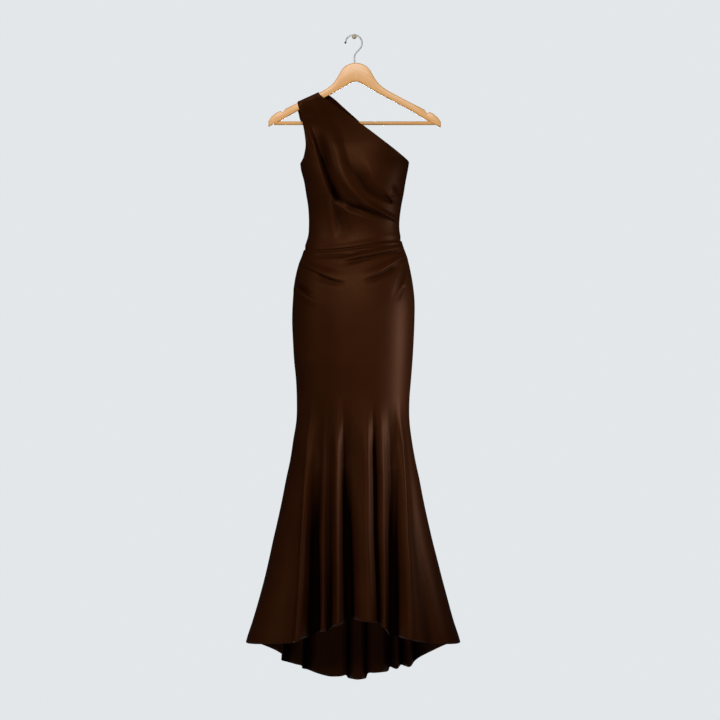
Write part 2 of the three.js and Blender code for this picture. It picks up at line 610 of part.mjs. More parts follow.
const pegProfile = [
  [0, PEG_FRONT],
  [PEG_HEAD_RADIUS - 1, PEG_FRONT],
  [PEG_HEAD_RADIUS, PEG_FRONT + 1],
  [PEG_HEAD_RADIUS, PEG_FRONT + PEG_HEAD_LENGTH],
  [PEG_RADIUS, PEG_FRONT + PEG_HEAD_LENGTH],
  [PEG_RADIUS, PEG_LEVEL_END],
  [PEG_RADIUS, PEG_BACK],
  [0, PEG_BACK],
].map(([x, y]) => new THREE.Vector2(x, y));
const pegGeometry = new THREE.LatheGeometry(pegProfile, 20);
const pegPoints = pegGeometry.getAttribute("position");
for (let i = 0; i < pegPoints.count; i += 1) {
  const rise = PEG_SLOPE * Math.max(pegPoints.getY(i) - PEG_LEVEL_END, 0);
  pegPoints.setZ(i, pegPoints.getZ(i) + rise);
}
const peg = piece("wall_peg", pegGeometry, brass());
peg.position.set(0, 0, -PEG_RADIUS - SEAM);

export default group;
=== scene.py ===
"""A one-shoulder satin gown, filled out, on a beech hanger that hangs from a brass wall peg."""

import math

import bmesh
import bpy
import numpy as np
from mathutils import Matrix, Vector


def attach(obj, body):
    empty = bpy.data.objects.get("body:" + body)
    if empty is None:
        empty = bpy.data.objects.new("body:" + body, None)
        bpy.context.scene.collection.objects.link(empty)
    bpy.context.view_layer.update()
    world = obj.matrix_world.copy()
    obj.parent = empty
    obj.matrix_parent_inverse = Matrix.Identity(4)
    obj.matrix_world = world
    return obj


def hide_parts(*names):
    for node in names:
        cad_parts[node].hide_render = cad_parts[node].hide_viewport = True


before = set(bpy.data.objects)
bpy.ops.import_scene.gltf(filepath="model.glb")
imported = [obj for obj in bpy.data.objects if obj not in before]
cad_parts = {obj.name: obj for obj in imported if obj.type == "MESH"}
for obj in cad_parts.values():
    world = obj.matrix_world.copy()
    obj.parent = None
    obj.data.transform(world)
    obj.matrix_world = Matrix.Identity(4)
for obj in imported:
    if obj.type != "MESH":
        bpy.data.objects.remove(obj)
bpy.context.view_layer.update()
bpy.ops.object.select_all(action="DESELECT")

MM = 0.001

# Cloth, in millimetres as the gown's tables are: its thickness and the gap kept at a seam
CLOTH = 1.3
SEAM = 0.02
# The power of the rings' curve: 2 is an ellipse, and more is fuller at its corners
ROUNDNESS = 2.3

# Where the skirt's top laps over the bodice: the lap's depth, the room between, the depth over which it
# fades, the height over which the bodice's folds calm down above, and the lift's share at the seams
LAP = 9
LAP_ROOM = 1.2
LAP_FADE = 34
LAP_CALM = 30
LIFT_AT_SEAM = 0.2
# Shares by which the bodice's lower edge and the skirt's top are drawn in, and the bodice's height there
TAKEN_IN = 0.028
SKIRT_TAKEN_IN = 0.017
TAKEN_IN_OVER = 16

# Heights of the gown's main lines
UNDERARM = -330
WAIST_SLANT_START = -470
SKIRT_TOP_LEFT = -553
TUCKS_END = -712
FLUTE_START = -915
HEM_SHAPE_START = -1000
KNEE = -1040
UPPER_FULL = -1110
SHIN = -1298
SIDE_HEM = -1560
# How much higher the skirt's top is at the right seam, the part of the width where it starts to rise,
# and the height below it over which the rows of the skirt follow that slant
SKIRT_TOP_RISE = 23
SKIRT_TOP_START = -0.7
SLANT_FADE = 90

# How folds die away at the side seams: the tucks' share left there, and the distances from the seam
# over which the tucks, the hollows and the bodice's folds reach their full height
AT_SEAM = 0.12
TUCKS_GROW = (8, 60)
HOLLOWS_GROW = (0, 30)
BODICE_FOLDS_GROW = 20
# The turned top edge of the skirt: rows from the edge and extra height
ROLL_ROWS = 3
ROLL_HEIGHT = 0.7

# How far the back strap shows beside the front one, and the strap rows over which it comes and goes
BACK_STRAP_SHOWS = 5
SHOWS_FROM = (2.8, 3.6)
SHOWS_UNTIL = (4.6, 5.6)
# Steps of smoothing where the strap's sections meet the rings, and the rows and columns it covers
UNDERARM_SPREADS = 60
UNDERARM_ROWS = (6, 18)
UNDERARM_COLUMNS = (2, 12)

# Grids: the part of a strap section per row, rows and columns of the bodice, heights of the skirt's rows,
# and steps between two points of a fold's line
STRAP_ROW = 0.125
BODY_ROWS = 108
FRONT_COLUMNS = 168
BACK_COLUMNS = 100
FRONT_TUCK_ROW = 1.6
BACK_TUCK_ROW = 4
SKIRT_ROW = 6.2
LINE_STEPS = 6

# Closed rings from the underarm to the hem: height, the outline's left and right edges, the depth of
# the front and of the back, and how much higher the ring is at its right edge
RINGS = np.array([
    # z, left, right, front, back, rise
    (-330, -139, 140.7, 92, 76, 4.6),
    (-346, -137, 138, 95, 77, 2),
    (-377, -129, 132, 95, 73, 0),
    (-408, -124, 127, 92, 68, 0),
    (-439, -119, 121, 86, 64, 0),
    (-469, -117, 117, 80, 61, 0),
    (-493, -117, 116, 77, 60, 0),
    (-516, -119, 119, 77, 62, 0),
    (-547, -129, 129, 82, 70, 0),
    (-577, -140, 138, 92, 82, 0),
    (-629, -153, 149, 107, 100, 0),
    (-680, -158, 155, 113, 109, 0),
    (-732, -160, 155, 114, 110, 0),
    (-783, -158, 153, 112, 105, 0),
    (-835, -155, 150, 108, 99, 0),
    (-886, -150, 146, 103, 93, 0),
    (-938, -148, 142, 99, 89, 0),
    (-989, -149, 142, 97, 87, 0),
    (-1040, -157, 148, 98, 89, 0),
    (-1092, -165, 157, 101, 93, 0),
    (-1143, -176, 168, 104, 98, 0),
    (-1195, -186, 178, 108, 104, 0),
    (-1246, -197, 189, 112, 110, 0),
    (-1298, -209, 201, 116, 117, 0),
    (-1349, -220, 214, 120, 123, 0),
    (-1400, -232, 227, 124, 129, 0),
    (-1452, -246, 241, 128, 135, 0),
    (-1503, -261, 255, 132, 140, 0),
    (-1560, -279, 273, 136, 146, 0),
    (-1690, -305, 299, 140, 152, 0),
])
RING = {name: i for i, name in enumerate(("z", "left", "right", "front", "back", "rise"))}

# Sections of the bodice above the underarm, down from the shoulder seam: the armhole's edge, the front
# and the back neckline's, the ends of the form under them, its depths, and 0 where the strap lies flat
STRAP = np.array([
    # row, armX, armZ, neckX, neckZ, backX, backZ, formLeft, formRight, front, back, round
    (0, -146.2, -170.3, -91.8, -145.6, -91.8, -145.6, -190, 150, 0.15, 0.15, 0),
    (1, -146.2, -170.8, -91.6, -146.1, -91.4, -146, -190, 150, 5.4, 5.4, 0),
    (2, -146, -173.6, -90.6, -149.2, -88, -148.2, -190, 150, 8.7, 8.7, 0),
    (3, -143.6, -184, -84, -156.4, -70, -150.6, -188, 150, 9.6, 9.6, 0),
    (4, -138.6, -200, -68, -168, -52, -161, -184, 150, 19, 18, 0.08),
    (5, -134.8, -218, -42, -188, -28, -181.4, -178, 150, 35, 32, 0.22),
    (6, -129.8, -240, -8, -213, 4, -208.7, -168, 150, 54, 48, 0.45),
    (7, -126, -264, 33, -243.6, 42, -241, -157, 148, 70, 61, 0.72),
    (8, -124.2, -286, 74, -275, 80, -273.4, -145, 144, 82, 69, 0.92),
    (9, -127, -304, 106, -299, 109, -298.2, -140, 141, 87.2, 73, 1),
    (10, -131, -318, 127, -315, 128.6, -314.7, -137.5, 140.5, 89.9, 75, 1),
    (11, -138.6, -329.6, 140.4, -325.1, 140.4, -325.1, -138.8, 140.6, 92, 76, 1),
])
STRAP_NAMES = "row armX armZ neckX neckZ backX backZ formLeft formRight front back round".split()
BAND = {name: i for i, name in enumerate(STRAP_NAMES)}


def fold(line, height, above, below, rise, fall):
    """A fold along a line of x and z seen from the front: how far it stands out, less than 0 for a
    hollow, its reach at its start and end, above and below a line that runs to the right, and the parts
    of its length over which it grows and dies away."""
    return dict(line=line, height=height, above=above, below=below, rise=rise, fall=fall)


BODICE_FOLDS = {
    "long pleat": fold([(-103, -200), (-71, -255), (-52, -301), (-40, -343), (-24, -380), (0, -411),
                        (24, -434), (47, -447), (78, -463), (113, -481)], 9, (40, 10), (34, 5), 0.12, 0.02),
    "pleat's crisp end": fold([(24, -434), (47, -447), (78, -463), (113, -481)],
                              3.2, (7, 5), (3.5, 3), 0.4, 0.02),
    "hollow under it": fold([(-108, -227), (-98, -255), (-89, -292), (-80, -324), (-70, -361), (-56, -394),
                             (-40, -421), (-11, -441), (22, -453), (68, -472), (108, -487)],
                            -9, (32, 5), (10, 20), 0.2, 0.3),
    "side panel": fold([(-124, -225), (-117, -260), (-103, -297), (-89, -343), (-78, -380), (-67, -417),
                        (-58, -449), (-53, -482), (-50, -520), (-48, -556)], 6, (9, 26), (50, 80), 0.3, 0.7),
    "hollow to the waist": fold([(-66, -380), (-56, -416), (-47, -452), (-38, -488), (-31, -520),
                                 (-28, -546)], -9, (24, 38), (13, 26), 0.3, 0.6),
    "short strap pleat": fold([(-124, -212), (-112, -262), (-94, -306)], 3, (10, 9), (9, 8), 0.25, 0.4),
    "upper hollow": fold([(-25, -301), (-2, -338), (17, -371), (36, -399), (68, -419), (104, -431)],
                         -8, (46, 12), (24, 10), 0.5, 0.05),
    "middle pleat": fold([(74, -404), (94, -423), (117, -446)], 4.5, (6, 5), (5, 4), 0.4, 0.02),
    "upper pleat": fold([(96, -402), (107, -414), (119, -430)], 3.5, (4, 4), (4, 3.5), 0.4, 0.02),
    "pit between pleats": fold([(92, -386), (107, -401), (122, -418)], -6, (14, 9), (7, 5), 0.5, 0.03),
    "shoulder seam": fold([(-134, -175), (-109, -167.5), (-93, -158)], -2, (3, 3), (3, 3), 0.05, 0.05),
}
BACK_BODICE_FOLDS = {
    "blade hollow": fold([(-52, -226), (-22, -300), (-10, -380)], -4, (34, 26), (30, 26), 0.35, 0.4),
    "drag to the underarm": fold([(20, -400), (70, -368), (118, -346)], 3.5, (20, 10), (16, 8), 0.5, 0.1),
    "drag to the waist": fold([(-96, -470), (-30, -492), (30, -484), (92, -470)],
                              3, (14, 14), (12, 12), 0.4, 0.4),
}
HIP_TUCKS = {
    "rolled top": fold([(-128, -556), (-60, -556.5), (0, -550), (60, -541), (128, -534)],
                       3.2, (3.5, 3.5), (5, 5), 0.2, 0.06),
    "second tuck": fold([(-46, -585), (0, -575), (40, -567), (88, -555), (128, -546)],
                        3.6, (20, 9), (3, 3), 0.3, 0.05),
    "swag from the left": fold([(-150, -580), (-132, -591), (-86, -612), (-52, -626), (-14, -635)],
                               3.8, (14, 26), (3.5, 9), 0.26, 0.45),
    "swag to the right": fold([(14, -632), (46, -619), (87, -596), (134, -567)],
                              4.2, (28, 12), (7, 3.5), 0.45, 0.04),
    "low left tuck": fold([(-158, -640), (-148, -650), (-130, -666), (-106, -680), (-76, -695)],
                          6.5, (3, 5), (16, 24), 0.3, 0.6),
}
GATHERS = {
    "gather below the top": fold([(92, -545), (112, -544), (134, -546)], 1.4, (3, 4), (2.5, 2.5), 0.5, 0.04),
    "gather above the knot": fold([(88, -560), (112, -555), (136, -553)], 1.6, (4, 4), (2.5, 2.5), 0.6, 0.04),
    "gather at the knot": fold([(92, -574), (116, -566), (139, -560)], 1.8, (4, 4), (2.5, 2.5), 0.6, 0.03),
    "gather under the knot": fold([(112, -598), (128, -585), (141, -572)], 1.8, (5, 4), (3, 3), 0.6, 0.03),
}
HIP_HOLLOWS = {
    "streak below the knot": fold([(138, -584), (124, -620), (97, -690)], -6, (8, 14), (9, 14), 0.12, 0.5),
    "short streak": fold([(130, -642), (118, -665), (108, -690)], -2, (7, 9), (7, 9), 0.2, 0.5),
    "under the left swag": fold([(-104, -613), (-60, -632), (-18, -641)], -4.6, (6, 6), (16, 18), 0.3, 0.5),
    "under the right swag": fold([(24, -637), (60, -622), (112, -590)], -4.6, (6, 5), (18, 12), 0.45, 0.2),
    "under the second tuck": fold([(-40, -590), (40, -572), (120, -552)], -3, (4, 4), (14, 8), 0.3, 0.1),
    "folded top's shade": fold([(-110, -568), (-40, -568), (30, -560)], -2.5, (4, 4), (12, 10), 0.3, 0.5),
    "above the low tuck": fold([(-158, -632), (-146, -643), (-127, -658), (-100, -673)],
                               -7, (16, 10), (6, 5), 0.25, 0.5),
}
BACK_HIP_FOLDS = {
    "pull to the knot": fold([(-30, -604), (50, -590), (132, -568)], 4, (20, 9), (10, 4), 0.5, 0.04),
    "pull to the left seam": fold([(20, -640), (-60, -622), (-140, -596)], 3.5, (10, 5), (20, 10), 0.5, 0.06),
    "seat hollow": fold([(-80, -820), (0, -842), (80, -820)], -5, (46, 46), (40, 40), 0.5, 0.5),
}

# Lines down the skirt that its flutes follow from seam to seam: X at the knee, the shin and the hem,
# how far each stands out below the knee and at the hem, how far the hem there hangs below the hem at
# the sides, and the steps to the next line. One line of the back is its centre seam.
FLUTE = {name: i for i, name in enumerate(("hem", "knee", "shin", "upper", "push", "drop", "steps"))}
FRONT_FLUTES = np.array([
    # hem, knee, shin, upper, push, drop, steps
    (-279, -157, -209, 0, 0, 0, 8),
    (-238, -146, -185, 0, 1, -3, 8),
    (-190, -134, -158, 2, 2, -7, 8),
    (-156, -124, -138, 5, 10, -11, 6),
    (-144, -117, -130, 8, 20, -14, 5),
    (-133, -108, -122, 3, 2, -21, 5),
    (-121, -98, -114, -5, -30, -24, 5),
    (-98, -86, -99, -9, -36, -37, 6),
    (-86, -77, -83, -5, -12, -38, 5),
    (-74, -70, -72, -6, -22, -39, 5),
    (-62, -60, -61, -2, -16, -50, 5),
    (-53, -52, -53, 5, 8, -54, 5),
    (-43, -44, -44, 10, 23, -57, 5),
    (-32, -36, -34, 2, 4, -60, 5),
    (-24, -28, -26, -9, -30, -63, 5),
    (-6, -18, -10, -10, -32, -70, 6),
    (6, -6, 2, -5, -6, -69, 6),
    (20, 14, 16, 3, 8, -66, 7),
    (45, 33, 35, 9, 15, -64, 6),
    (58, 44, 49, 0, 3, -63, 5),
    (69, 52, 58, -7, -14, -60, 5),
    (82, 66, 73, 7, 2, -45, 6),
    (91, 80, 88, 0, -16, -38, 5),
    (98, 92, 97, -7, -34, -27, 6),
    (116, 106, 113, -3, -30, -24, 5),
    (129, 114, 121, 5, 0, -21, 5),
    (141, 121, 130, 9, 17, -19, 6),
    (160, 127, 141, 4, 8, -14, 7),
    (192, 134, 158, 0, -5, -8, 8),
    (232, 141, 180, 0, -1, -3, 8),
    (273, 148, 201, 0, 0, 0, 1),
])
CENTRE_BACK_LINE = 17
BACK_FLUTES = np.array([
    # hem, knee, shin, upper, push, drop, steps
    (-279, -157, -209, 0, 0, 0, 8),
    (-252, -148, -190, 1, 6, 9, 7),
    (-226, -140, -172, 2, 10, 20, 7),
    (-200, -132, -158, -1, -6, 34, 6),
    (-187, -126, -150, -2, -14, 45, 4),
    (-181, -122, -145, 1, 8, 60, 5),
    (-166, -114, -134, 4, 14, 66, 6),
    (-148, -106, -122, -1, -10, 71, 5),
    (-134, -100, -112, -3, -16, 75, 4),
    (-128, -96, -108, 0, 6, 84, 5),
    (-114, -88, -98, 4, 14, 88, 6),
    (-92, -76, -82, 0, -8, 96, 7),
    (-62, -52, -54, -4, -14, 104, 7),
    (-34, -30, -30, -3, -14, 104, 5),
    (-21, -19, -19, 1, 2, 103, 4),
    (-16, -15, -15, 5, 15, 111, 5),
    (-4, -5, -4, 0, -6, 112, 5),
    (7, 4, 6, -3, -13, 113, 5),
    (18, 14, 15, -1, -10, 112, 5),
    (28, 24, 25, 4, 12, 111, 4),
    (33, 28, 29, 1, 0, 98, 5),
    (50, 40, 43, -3, -14, 95, 7),
    (70, 58, 62, -2, -12, 93, 6),
    (81, 68, 73, 2, 10, 92, 4),
    (86, 72, 77, 4, 14, 82, 5),
    (100, 80, 87, -1, -8, 83, 5),
    (108, 86, 94, -3, -14, 83, 4),
    (112, 89, 98, 3, 12, 76, 5),
    (128, 97, 109, 0, -4, 77, 5),
    (141, 105, 120, -2, -12, 77, 4),
    (146, 108, 124, 3, 10, 66, 5),
    (168, 116, 138, 2, 8, 50, 7),
    (210, 132, 165, -1, -8, 29, 8),
    (243, 141, 184, 0, -2, 12, 8),
    (273, 148, 201, 0, 0, 0, 1),
])


def smooth(x, low, high):
    """From 0 at low to 1 at high, with a soft start and end."""
    t = np.clip((x - low) / (high - low), 0, 1)
    return t * t * (3 - 2 * t)


def column(table, key, at):
    """The value of one column at places between the rows of a table, along a smooth curve."""
    place = table[:, 0]
    value = table[:, key]
    slope = np.empty(len(place))
    slope[1:-1] = (value[2:] - value[:-2]) / (place[2:] - place[:-2])
    slope[0] = (value[1] - value[0]) / (place[1] - place[0])
    slope[-1] = (value[-1] - value[-2]) / (place[-1] - place[-2])
    forward = 1 if place[-1] > place[0] else -1
    i = np.clip(np.searchsorted(place * forward, np.asarray(at) * forward, "right") - 1, 0, len(place) - 2)
    span = place[i + 1] - place[i]
    t = np.clip((at - place[i]) / span, 0, 1)
    bend = slope[i] * span
    end = slope[i + 1] * span
    step = value[i + 1] - value[i]
    return value[i] + t * bend + t * t * (3 * step - 2 * bend - end) + t ** 3 * (bend + end - 2 * step)


def curve(line):
    """A smooth line through the given points."""
    table = np.column_stack((np.arange(len(line)), np.array(line, float)))
    at = np.linspace(0, len(line) - 1, (len(line) - 1) * LINE_STEPS + 1)
    return np.column_stack((column(table, 1, at), column(table, 2, at)))


def relief(folds, x, z):
    """How far a table of folds moves the cloth outwards at points of the front view."""
    total = np.zeros_like(x)
    for made in folds.values():
        line = curve(made["line"])
        nearest = np.full_like(x, np.inf)
        side = np.ones_like(x)
        along = np.zeros_like(x)
        for i, ((ax, az), (bx, bz)) in enumerate(zip(line, line[1:])):
            dx, dz = bx - ax, bz - az
            t = np.clip(((x - ax) * dx + (z - az) * dz) / (dx * dx + dz * dz), 0, 1)
            distance = np.hypot(x - ax - t * dx, z - az - t * dz)
            closer = distance < nearest
            nearest = np.where(closer, distance, nearest)
            side = np.where(closer, np.sign(dx * (z - az) - dz * (x - ax)), side)
            along = np.where(closer, (i + t) / (len(line) - 1), along)
        start, end = made["above"]
        low_start, low_end = made["below"]
        reach = np.where(side > 0, start + (end - start) * along, low_start + (low_end - low_start) * along)
        grown = smooth(along, -0.001, made["rise"]) * smooth(1 - along, -0.001, made["fall"])
        inside = np.clip(1 - (nearest / reach) ** 2, 0, 1)
        total += made["height"] * grown * inside ** 2
    return total


def raised(value, power):
    """A power that keeps the sign."""
    return np.sign(value) * np.abs(value) ** power


def across(angle):
    """The part of the half width at an angle round the form, -1 at the left."""
    return -raised(np.cos(angle), 2 / ROUNDNESS)


def outwards(angle):
    """The part of the depth at an angle round the form."""
    return raised(np.sin(angle), 2 / ROUNDNESS)


def angle_at(part):
    """The angle round the form at a part of the half width."""
    return np.arccos(np.clip(-raised(part, ROUNDNESS / 2), -1, 1))


def ring(z):
    """The middle and the half width of the form at a height."""
    left = column(RINGS, RING["left"], z)
    right = column(RINGS, RING["right"], z)
    return (left + right) / 2, (right - left) / 2


def form(side, part, z):
    """Points on the filled-out form, part being -1 at the left seam and 1 at the right."""
    middle, half = ring(z)
    depth = column(RINGS, RING["front" if side < 0 else "back"], z)
    y = np.maximum(depth * outwards(angle_at(part)), SEAM / 2)
    return middle + half * part, side * y


def skirt_top(part):
    """The height of the skirt's top edge at a part of the half width."""
    return SKIRT_TOP_LEFT + SKIRT_TOP_RISE * smooth(part, SKIRT_TOP_START, 1)


def bodice_body(side, station, turn):
    """The bodice below the underarm, as x, y and z grids."""
    station, turn = np.meshgrid(station, turn, indexing="ij")
    part = across(np.pi * turn)
    slant = smooth(-station, -WAIST_SLANT_START, -SKIRT_TOP_LEFT)
    rise = column(RINGS, RING["rise"], station) * (part + 1) / 2
    z = station + rise + slant * (skirt_top(part) - SKIRT_TOP_LEFT)
    x, y = form(side, part, z)
    middle, half = ring(z)
    narrowed = 1 - TAKEN_IN * (1 - smooth(z - skirt_top(part), 0, TAKEN_IN_OVER))
    x = middle + (x - middle) * narrowed
    y = side * np.maximum(np.abs(y) * narrowed, SEAM / 2)
    return np.stack((x, y, z), axis=-1)


def bodice_strap(side, row, turn):
    """The bodice above the underarm, row 0 being the shoulder seam."""
    row, turn = np.meshgrid(row, turn, indexing="ij")
    left = column(STRAP, BAND["formLeft"], row)
    right = column(STRAP, BAND["formRight"], row)
    middle, half = (left + right) / 2, (right - left) / 2
    end_x = column(STRAP, BAND["neckX" if side < 0 else "backX"], row)
    end_z = column(STRAP, BAND["neckZ" if side < 0 else "backZ"], row)
    arm_x = column(STRAP, BAND["armX"], row)
    if side > 0:
        arm_x = arm_x - BACK_STRAP_SHOWS * smooth(row, *SHOWS_FROM) * (1 - smooth(row, *SHOWS_UNTIL))
    arm_z = column(STRAP, BAND["armZ"], row)
    start = angle_at((arm_x - middle) / half)
    end = angle_at((end_x - middle) / half)
    angle = start + (end - start) * turn
    x = middle + half * across(angle)
    depth = column(STRAP, BAND["front" if side < 0 else "back"], row)
    flat = 1 - column(STRAP, BAND["round"], row)
    y = depth * (flat + (1 - flat) * outwards(angle))
    z = arm_z + (end_z - arm_z) * (x - arm_x) / (end_x - arm_x)
    return np.stack((x, side * np.maximum(y, SEAM / 2), z), axis=-1)


def line_parts(lines, z):
    """The part of the half width at which each flute line lies at each height."""
    def place(height, name):
        middle, half = ring(np.array(float(height)))
        return np.clip((lines[:, FLUTE[name]] - middle) / half, -1, 1)

    knee, shin, hem = place(KNEE, "knee"), place(SHIN, "shin"), place(SIDE_HEM, "hem")
    upper = np.clip((KNEE - z) / (KNEE - SHIN), 0, 1)[:, None]
    lower = np.clip((SHIN - z) / (SHIN - SIDE_HEM), 0, 1)[:, None]
    return knee + (shin - knee) * upper + (hem - shin) * lower


def skirt_surface(side, lines, stations):
    """The skirt without its tucks, as a grid of points from its left seam to its right."""
    parts = line_parts(lines, stations)
    steps = lines[:-1, FLUTE["steps"]].astype(int)
    last = len(lines) - 1
    index = np.append(np.repeat(np.arange(last), steps), last - 1)
    between = np.append(np.concatenate([np.arange(n) / n for n in steps]), 1.0)
    part = parts[:, index] + (parts[:, index + 1] - parts[:, index]) * between
    station = np.broadcast_to(stations[:, None], part.shape)
    hem = lines[index, FLUTE["hem"]]
    hem = hem + (lines[index + 1, FLUTE["hem"]] - hem) * between
    upper, push, drop = (column(lines, FLUTE[name], hem) for name in ("upper", "push", "drop"))
    slant = 1 - smooth(-station, -SKIRT_TOP_LEFT, -SKIRT_TOP_LEFT + SLANT_FADE)
    z = station - drop * smooth(-station, -HEM_SHAPE_START, -SIDE_HEM)
    z = z + slant * (skirt_top(part) - SKIRT_TOP_LEFT)
    x, y = form(side, part, z)
    below_knee = np.clip((UPPER_FULL - station) / (UPPER_FULL - SIDE_HEM), 0, 1)
    stand = upper * smooth(-station, -FLUTE_START, -UPPER_FULL) * (1 - below_knee) + push * below_knee
    middle, half = ring(z)
    depth = column(RINGS, RING["front" if side < 0 else "back"], z)
    nx = raised(part, ROUNDNESS - 1) / half
    ny = side * outwards(angle_at(part)) / depth
    length = np.hypot(nx, ny)
    over_bodice = 1 - smooth(skirt_top(part) - z, LAP, LAP + LAP_FADE)
    lift = over_bodice * (CLOTH + LAP_ROOM) * (LIFT_AT_SEAM + (1 - LIFT_AT_SEAM) * np.abs(ny) / length)
    out = stand + lift
    narrowed = 1 - SKIRT_TAKEN_IN * over_bodice
    x = middle + (x - middle) * narrowed + nx / length * out
    y = side * np.maximum(side * (y * narrowed + ny / length * out), SEAM / 2)
    return np.stack((x, y, z), axis=-1)


def directions(points, side):
    """The outward direction at each point of a grid of rows."""
    along = np.gradient(points, axis=1)
    down = np.gradient(points, axis=0)
    normal = np.cross(down, along) * -side
    return normal / np.maximum(np.linalg.norm(normal, axis=-1, keepdims=True), 1e-9)


# The painted shade of the folds: the reach of a hollow in mm, and the depth in mm at which the painted shade
# is darkest
HOLLOWS = [(17, 10), (4.5, 2.1)]
# The shares of that painted shade on the cloth's inside and on the bodice, and the distance from a side seam
# over which it comes in
INSIDE_SHADE = 0.5
BODICE_SHADE = 0.6
SHADE_FROM_SEAM = 40


def spread(values, axis):
    """One step of averaging each value with its two neighbours."""
    wide = np.concatenate((values.take([0], axis), values, values.take([-1], axis)), axis)
    count = values.shape[axis]
    return (wide.take(range(count), axis) + 2 * values + wide.take(range(2, count + 2), axis)) / 4


def hollowness(points, side, reach):
    """How deep each point lies below the cloth within reach of it, less than 0 on a crest."""
    even = points
    for axis in (0, 1):
        step = np.linalg.norm(np.diff(points, axis=axis), axis=-1).mean()
        # Enough steps to average over the reach
        for _ in range(round(2 * (reach / step) ** 2)):
            even = spread(even, axis)
    return ((even - points) * directions(even, side)).sum(axis=-1)


def fold_shade(points, side):
    """How much shade is painted into the satin's colour at each point: more than 0 in a hollow, less on a
    crest, 0 at the seams.
    """
    depth = sum(hollowness(points, side, reach) / deepest for reach, deepest in HOLLOWS)
    step = np.linalg.norm(np.diff(points, axis=1), axis=-1).mean(axis=0)
    along = np.concatenate(([0], np.cumsum(step)))
    return depth * smooth(np.minimum(along, along[-1] - along), 0, SHADE_FROM_SEAM)


def cloth_wall(name, outer, inner, side, shade, material):
    """A closed wall between two grids of points in millimetres, with a UV map in metres of cloth and
    the shade painted into its folds as an attribute, from 0 to 1 in the deepest."""
    rows, columns = outer.shape[:2]
    points = np.concatenate((outer.reshape(-1, 3), inner.reshape(-1, 3))) * MM
    layer = rows * columns
    faces = []

    def quad(a, b, c, d):
        faces.append((a, b, c, d) if side < 0 else (a, d, c, b))

    for r in range(rows - 1):
        for c in range(columns - 1):
            a = r * columns + c
            quad(a, a + columns, a + columns + 1, a + 1)
            quad(layer + a, layer + a + 1, layer + a + columns + 1, layer + a + columns)
    for r in range(rows - 1):
        a = r * columns
        b = a + columns - 1
        quad(a, layer + a, layer + a + columns, a + columns)
        quad(b, b + columns, layer + b + columns, layer + b)
    for c in range(columns - 1):
        b = (rows - 1) * columns + c
        quad(c, c + 1, layer + c + 1, layer + c)
        quad(b, layer + b, layer + b + 1, b + 1)
    mesh = bpy.data.meshes.new(name)
    mesh.from_pydata(points.tolist(), [], faces)
    wide = np.linalg.norm(np.diff(outer, axis=1), axis=-1).mean(axis=0)
    tall = np.linalg.norm(np.diff(outer, axis=0), axis=-1).mean(axis=1)
    u = np.concatenate(([0], np.cumsum(wide))) * MM
    v = -np.concatenate(([0], np.cumsum(tall))) * MM
    plan = np.stack(np.meshgrid(u, v), axis=-1).reshape(-1, 2)
    plan = np.concatenate((plan, plan))
    layer_uv = mesh.uv_layers.new(name="cloth")
    corners = np.empty(len(mesh.loops), dtype=np.int32)
    mesh.loops.foreach_get("vertex_index", corners)
    layer_uv.data.foreach_set("uv", plan[corners].ravel())
    # Painted shade of the folds; the inside gets painted shade where the outside stands out
    both = np.concatenate((shade.ravel(), -INSIDE_SHADE * shade.ravel()))
    painted_fold_shade = mesh.attributes.new("painted_fold_shade", "FLOAT", "POINT")
    painted_fold_shade.data.foreach_set("value", np.clip(both, 0, 1).astype(np.float32))
    rounded = np.arange(len(mesh.polygons)) < 2 * (rows - 1) * (columns - 1)
    mesh.polygons.foreach_set("use_smooth", rounded)
    mesh.materials.append(material)
    piece = bpy.data.objects.new(name, mesh)
    bpy.context.collection.objects.link(piece)
    return piece


# Colour and materials

SATIN_DEEP = "#240D02"
SATIN_FACE = "#2A1104"
SATIN_SHINE = "#E39A6C"
# Threads drawn and slubs along them, per metre of cloth
THREADS = 830.0
SLUBS = 60.0
# The share of the satin's colour and shine left under the painted shade in the deepest fold
KEPT_UNDER_PAINTED_SHADE = 0.08
# Where the hanger's arms meet, and how much each falls per millimetre, which its grain follows
JOINT_X = 3.9
ARM_SLOPE = 0.53
# How much the beech's grain varies along the arm, through it and across it
GRAIN = (7.0, 70.0, 150.0)
BACKDROP = "#E3E7EA"


def linear(hex_colour):
    """An sRGB hex value as a linear colour."""
    parts = [int(hex_colour[i:i + 2], 16) / 255 for i in (1, 3, 5)]
    return (*(p / 12.92 if p <= 0.04045 else ((p + 0.055) / 1.055) ** 2.4 for p in parts), 1.0)


def node(tree, kind, settings=None, links=None):
    """Adds a node with its settings and the sockets that feed it."""
    made = tree.nodes.new(kind)
    for key, value in (settings or {}).items():
        if isinstance(key, str) and key not in made.inputs:
            setattr(made, key, value)
        else:
            made.inputs[key].default_value = value
    for key, source in (links or {}).items():
        tree.links.new(source, made.inputs[key])
    return made


def new_material(name):
    material = bpy.data.materials.new(name)
    material.use_nodes = True
    tree = material.node_tree
    tree.nodes.clear()
    return material, tree


def ramp(tree, source, stops):
    """A colour ramp with its stops as places and hex values."""
    made = node(tree, "ShaderNodeValToRGB", links={"Fac": source})
    elements = made.color_ramp.elements
    while len(elements) < len(stops):
        elements.new(0.5)
    for element, (place, colour) in zip(elements, stops):
        element.position = place
        element.color = linear(colour)
    return made.outputs["Color"]


